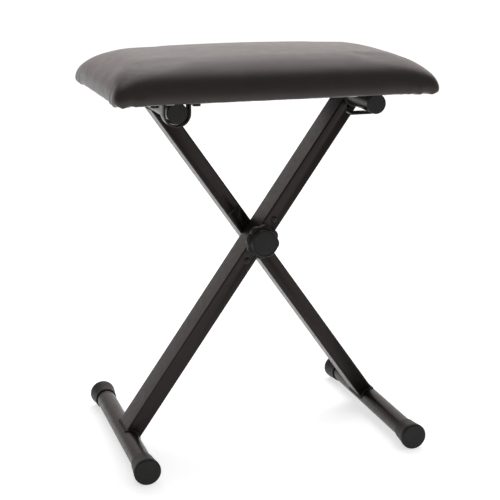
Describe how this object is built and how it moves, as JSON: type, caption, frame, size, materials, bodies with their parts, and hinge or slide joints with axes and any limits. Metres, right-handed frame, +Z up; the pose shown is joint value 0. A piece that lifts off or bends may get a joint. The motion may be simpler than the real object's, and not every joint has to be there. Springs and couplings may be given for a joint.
{
  "type": "piano bench",
  "caption": "Padded piano bench on a folding cross frame with round foot bars, a clamp knob at the pivot and strap brackets under the seat.",
  "frame": {"origin": "on the floor, at the middle of the object's box, under the middle of the seat", "axes": "+Z up, +X along the seat's long side, +Y from the knob side to the back"},
  "size_m": [0.4, 0.279, 0.5062],
  "materials": {
    "black_coat": "satin black powder coat",
    "vinyl": "smooth black vinyl, satin",
    "moulded_plastic": "matte black moulded plastic",
    "zinc_steel": "bright zinc plate",
    "plywood": "raw plywood",
    "foam": "open-cell foam",
    "backing_cloth": "black non-woven dust cloth",
    "brass_insert": "machined"
  },
  "bodies": {
    "seat": {"seat_board": "plywood", "seat_foam": "foam", "seat_cover": "vinyl", "cover_staples": "zinc_steel", "dust_cloth": "backing_cloth", "tee_nuts": "zinc_steel", "bracket_screws": "black_coat", "front_saddle": "black_coat", "rear_saddle": "black_coat", "front_hook": "black_coat", "rear_hook": "black_coat"},
    "rear_leg": {"rear_leg_tube": "black_coat", "rear_leg_foot_tube": "black_coat", "rear_leg_top_tube": "black_coat", "rear_leg_welds": "black_coat", "rear_leg_foot_cap_front": "moulded_plastic", "rear_leg_foot_cap_rear": "moulded_plastic", "rear_leg_top_plug_front": "moulded_plastic", "rear_leg_top_plug_rear": "moulded_plastic", "rear_leg_bush": "zinc_steel", "rear_leg_lock_plate": "black_coat", "rear_leg_rivets": "black_coat", "pivot_bolt": "zinc_steel", "bolt_washer": "zinc_steel"},
    "front_leg": {"front_leg_tube": "black_coat", "front_leg_foot_tube": "black_coat", "front_leg_top_tube": "black_coat", "front_leg_welds": "black_coat", "front_leg_foot_cap_front": "moulded_plastic", "front_leg_foot_cap_rear": "moulded_plastic", "front_leg_top_plug_front": "moulded_plastic", "front_leg_top_plug_rear": "moulded_plastic", "front_leg_bush": "zinc_steel", "front_leg_lock_plate": "black_coat", "front_leg_rivets": "black_coat"},
    "clamp": {"clamp_washer": "zinc_steel"},
    "knob": {"knob_grip": "moulded_plastic", "knob_insert": "brass_insert", "knob_cap": "moulded_plastic"}
  },
  "joints": [
    {"name": "rear_leg_swing", "type": "hinge", "parent": "seat", "child": "rear_leg", "pos_m": [-0.12447, 0, 0.44492], "axis": [0, 1, 0], "range_deg": [0, 27]},
    {"name": "leg_scissor", "type": "hinge", "parent": "rear_leg", "child": "front_leg", "pos_m": [0, 0, 0.26716], "axis": [0, -1, 0], "range_deg": [0, 54]},
    {"name": "clamp_travel", "type": "slide", "parent": "rear_leg", "child": "clamp", "axis": [0, -1, 0], "range_m": [0, 0.0025]},
    {"name": "knob_turn", "type": "hinge", "parent": "clamp", "child": "knob", "pos_m": [0, -0.05, 0.26716], "axis": [0, -1, 0], "range_deg": [0, 720]}
  ],
  "couplings": [
    {"joint": "leg_scissor", "follows": "rear_leg_swing", "ratio": 2},
    {"joint": "knob_turn", "follows": "clamp_travel", "rad_per_m": 5026.5}
  ]
}
